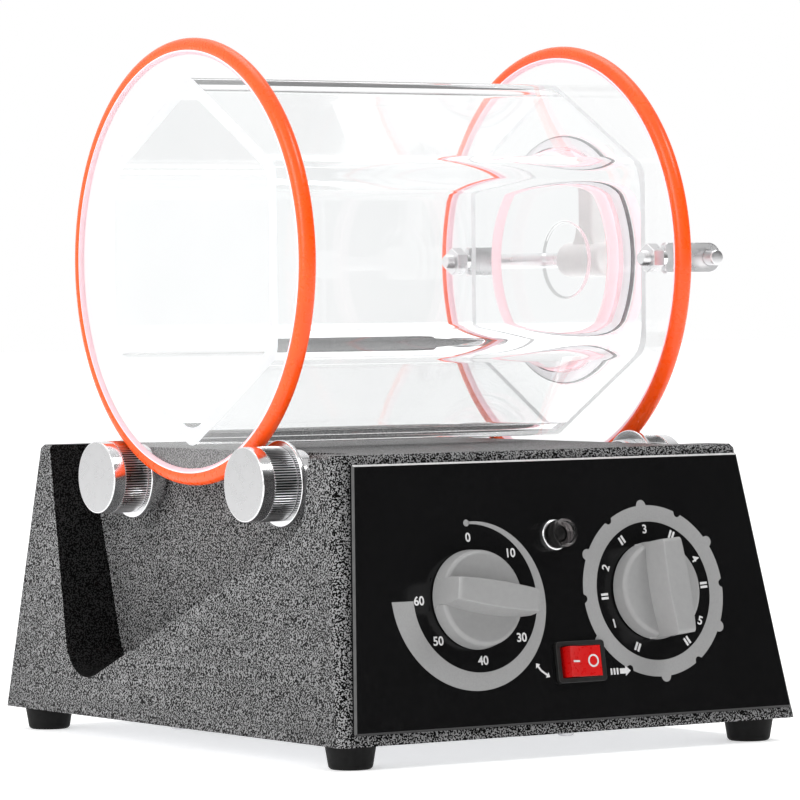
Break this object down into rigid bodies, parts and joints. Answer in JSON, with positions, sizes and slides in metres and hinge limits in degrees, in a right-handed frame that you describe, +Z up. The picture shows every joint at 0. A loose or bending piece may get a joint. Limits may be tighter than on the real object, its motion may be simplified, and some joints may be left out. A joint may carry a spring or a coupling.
{
  "type": "rotary rock tumbler",
  "caption": "Clear hexagonal tumbling drum with orange-tyred flanges, turned on powered rollers in a sloping base with timer, speed dial and rocker switch.",
  "frame": {"origin": "on the surface the feet stand on, under the middle of the machine's overall box", "axes": "+Z up, X along the drum's axis with the lid end at +X, controls facing -Y"},
  "size_m": [0.212, 0.2624, 0.27],
  "materials": {
    "hammertone_paint": "black and silver hammered paint",
    "zinc_steel": "zinc plated sheet",
    "screw_steel": "plated fasteners",
    "foot_rubber": "black rubber",
    "panel_black": "gloss black with pale printed scales",
    "control_plastic": "moulded switch bodies",
    "shaft_steel": "ground steel",
    "knob_grey": "light grey satin plastic",
    "chrome": "bright plated steel",
    "lamp_clear": "clear tinted lens",
    "rocker_red": "red gloss plastic",
    "black_plastic": "black moulded plastic",
    "inlet_brass": "plated brass",
    "core_steel": "varnished laminations",
    "coil_tape": "taped copper winding",
    "motor_paint": "grey enamel",
    "pulley_metal": "turned aluminium",
    "belt_rubber": "flat black belt",
    "bearing_bronze": "sintered bronze",
    "clear_acrylic": "clear polished acrylic",
    "tyre_orange": "orange polyurethane cord",
    "gasket_grey": "dark grey seal",
    "lever_white": "white moulded plastic"
  },
  "bodies": {
    "base": {"housing": "hammertone_paint", "left_end": "hammertone_paint", "right_end": "hammertone_paint", "base_plate": "zinc_steel", "base_screws": "screw_steel", "foot_front_left": "foot_rubber", "foot_front_right": "foot_rubber", "foot_rear_left": "foot_rubber", "foot_rear_right": "foot_rubber", "foot_screws": "screw_steel", "control_panel": "panel_black", "timer_unit": "control_plastic", "speed_switch": "control_plastic", "lamp_bezel": "chrome", "lamp_lens": "lamp_clear", "rocker_body": "black_plastic", "power_inlet": "black_plastic", "inlet_pins": "inlet_brass", "transformer_core": "core_steel", "transformer_coil": "coil_tape", "transformer_screws": "screw_steel", "motor_body": "motor_paint", "motor_gearbox": "motor_paint", "motor_bracket": "zinc_steel", "motor_screws": "screw_steel", "drive_belt": "belt_rubber", "bearing_rear_left": "bearing_bronze", "bearing_rear_right": "bearing_bronze", "bearing_front_left": "bearing_bronze", "bearing_front_right": "bearing_bronze"},
    "drum": {"barrel": "clear_acrylic", "left_flange": "clear_acrylic", "right_flange": "clear_acrylic", "left_tyre": "tyre_orange", "right_tyre": "tyre_orange", "link_front": "chrome", "link_rear": "chrome", "link_nuts": "chrome"},
    "lid": {"lid": "clear_acrylic", "lid_gasket": "gasket_grey"},
    "clamp_rod": {"clamp_rod": "chrome"},
    "cam_lever": {"cam_lever": "lever_white"},
    "drive_axle": {"drive_shaft": "shaft_steel", "drive_pulley": "pulley_metal", "drive_wheel_left": "chrome", "drive_wheel_right": "chrome", "drive_set_screws": "screw_steel", "drive_collars": "screw_steel"},
    "idler_axle": {"idler_shaft": "shaft_steel", "idler_wheel_left": "chrome", "idler_wheel_right": "chrome", "idler_set_screws": "screw_steel", "idler_collars": "screw_steel"},
    "motor_rotor": {"motor_shaft": "shaft_steel", "motor_pulley": "pulley_metal"},
    "timer_control": {"timer_shaft": "shaft_steel", "timer_knob": "knob_grey"},
    "speed_control": {"speed_shaft": "shaft_steel", "speed_knob": "knob_grey"},
    "power_rocker": {"rocker": "rocker_red"}
  },
  "joints": [
    {"name": "drum_spin", "type": "hinge", "parent": "base", "child": "drum", "pos_m": [-0.002, 0.00469, 0.185], "axis": [1, 0, 0], "continuous": true},
    {"name": "drive_axle_spin", "type": "hinge", "parent": "base", "child": "drive_axle", "pos_m": [-0.002, 0.05869, 0.10196], "axis": [1, 0, 0], "continuous": true},
    {"name": "idler_axle_spin", "type": "hinge", "parent": "base", "child": "idler_axle", "pos_m": [-0.002, -0.04931, 0.10196], "axis": [1, 0, 0], "continuous": true},
    {"name": "motor_spin", "type": "hinge", "parent": "base", "child": "motor_rotor", "pos_m": [-0.002, 0.05869, 0.046], "axis": [1, 0, 0], "continuous": true},
    {"name": "lid_release", "type": "slide", "parent": "drum", "child": "lid", "axis": [1, 0, 0], "range_m": [0, 0.0006]},
    {"name": "cam_lever_turn", "type": "hinge", "parent": "drum", "child": "cam_lever", "pos_m": [0.1, 0.00469, 0.185], "axis": [0, 1, 0], "range_deg": [0, 100]},
    {"name": "clamp_rod_slide", "type": "slide", "parent": "drum", "child": "clamp_rod", "axis": [0, 1, 0], "range_m": [0, 0.15]},
    {"name": "timer_turn", "type": "hinge", "parent": "base", "child": "timer_control", "pos_m": [-0.0435, -0.10839, 0.0593], "axis": [0, -0.9863, 0.1652], "range_deg": [-172, 100]},
    {"name": "speed_turn", "type": "hinge", "parent": "base", "child": "speed_control", "pos_m": [0.038, -0.10839, 0.0593], "axis": [0, -0.9863, 0.1652], "range_deg": [-300, 0]},
    {"name": "power_rock", "type": "hinge", "parent": "base", "child": "power_rocker", "pos_m": [0.001, -0.11301, 0.03473], "axis": [0, 0.1652, 0.9863], "range_deg": [-22, 0]}
  ],
  "couplings": [
    {"joint": "drive_axle_spin", "follows": "drum_spin", "ratio": -6.0714},
    {"joint": "idler_axle_spin", "follows": "drum_spin", "ratio": -6.0714},
    {"joint": "motor_spin", "follows": "drum_spin", "ratio": -6.0714},
    {"joint": "cam_lever_turn", "follows": "lid_release", "rad_per_m": 2908.9}
  ]
}
